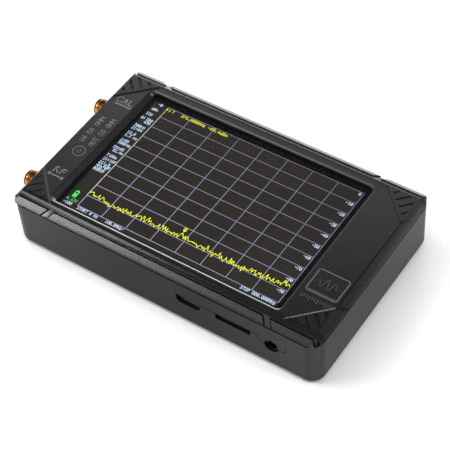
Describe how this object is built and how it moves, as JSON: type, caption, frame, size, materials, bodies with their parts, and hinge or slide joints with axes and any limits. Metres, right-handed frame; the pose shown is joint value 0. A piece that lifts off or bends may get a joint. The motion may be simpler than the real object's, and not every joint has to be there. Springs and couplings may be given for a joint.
{
  "type": "handheld spectrum analyzer",
  "caption": "Handheld spectrum analyzer: flat rectangular case with a landscape screen, coaxial ports on one end, data and audio ports on a long wall, switches opposite.",
  "frame": {"origin": "centre of the flat back face", "axes": "+X towards the blank end, away from the coaxial ports; +Y towards the wall with the switches; +Z out of the screen"},
  "size_m": [0.125, 0.074, 0.022],
  "materials": {
    "case_plastic": "fine matte texture",
    "front_plastic": "satin",
    "foam": "soft foam",
    "screw_steel": "blackened",
    "insert_brass": "knurled",
    "screen_glass": "clear, lit picture behind it",
    "lcd_glass": "dark polarised glass",
    "light_guide": "clear acrylic",
    "display_tray": "pressed tray",
    "flex": "polyimide ribbon",
    "connector_plastic": "moulded",
    "board": "solder mask",
    "shield_tin": "tin plated",
    "chip": "moulded package",
    "oscillator_metal": "lid",
    "gold": "gold plated",
    "ptfe": "fluoropolymer",
    "port_steel": "nickel plated",
    "port_plastic": "moulded",
    "card_plastic": "moulded",
    "switch_plastic": "moulded",
    "slider_plastic": "moulded",
    "battery_foil": "laminated pouch",
    "tape": "adhesive film",
    "wire": "silicone insulation"
  },
  "bodies": {
    "case": {"front_shell": "front_plastic", "back_shell": "case_plastic", "screen_gasket": "foam", "case_screws": "screw_steel", "threaded_inserts": "insert_brass", "touch_panel": "screen_glass", "lcd_cell": "lcd_glass", "light_guide": "light_guide", "backlight_frame": "display_tray", "display_flex": "flex", "flex_connector": "connector_plastic", "display_pads": "foam", "main_board": "board", "rf_shield_frame": "shield_tin", "rf_shield_lid": "shield_tin", "synth_shield_frame": "shield_tin", "synth_shield_lid": "shield_tin", "tuner_chips": "chip", "clock_oscillator": "oscillator_metal", "processor_chip": "chip", "charger_chip": "chip", "power_inductor": "chip", "coax_jack_rf": "gold", "coax_insulator_rf": "ptfe", "coax_contact_rf": "gold", "coax_jack_cal": "gold", "coax_insulator_cal": "ptfe", "coax_contact_cal": "gold", "usb_c_shell": "port_steel", "usb_c_tongue": "port_plastic", "card_socket_base": "port_plastic", "card_socket_cover": "port_steel", "audio_jack_body": "port_plastic", "audio_jack_bushing": "port_steel", "audio_jack_contacts": "gold", "power_switch_frame": "port_steel", "jog_switch_body": "switch_plastic", "battery_pack": "battery_foil", "battery_tape": "tape", "battery_wires": "wire", "battery_plug": "connector_plastic", "battery_socket": "connector_plastic"},
    "power_slider": {"power_switch_knob": "switch_plastic"},
    "jog_carrier": {"jog_slider": "slider_plastic"},
    "jog_lever": {"jog_lever": "switch_plastic"},
    "memory_card": {"memory_card": "card_plastic"}
  },
  "joints": [
    {"name": "power_slide", "type": "slide", "parent": "case", "child": "power_slider", "axis": [1, 0, 0], "range_m": [0, 0.002]},
    {"name": "jog_press", "type": "slide", "parent": "case", "child": "jog_carrier", "axis": [0, -1, 0], "range_m": [0, 0.0004], "stiffness_N_per_m": 1200},
    {"name": "jog_tilt", "type": "hinge", "parent": "jog_carrier", "child": "jog_lever", "pos_m": [0.025, 0.0312, 0.011], "axis": [0, 0, 1], "range_deg": [-12, 12], "stiffness_Nm_per_rad": 0.02},
    {"name": "card_slide", "type": "slide", "parent": "case", "child": "memory_card", "axis": [0, -1, 0], "range_m": [-0.0003, 0.0115]}
  ]
}
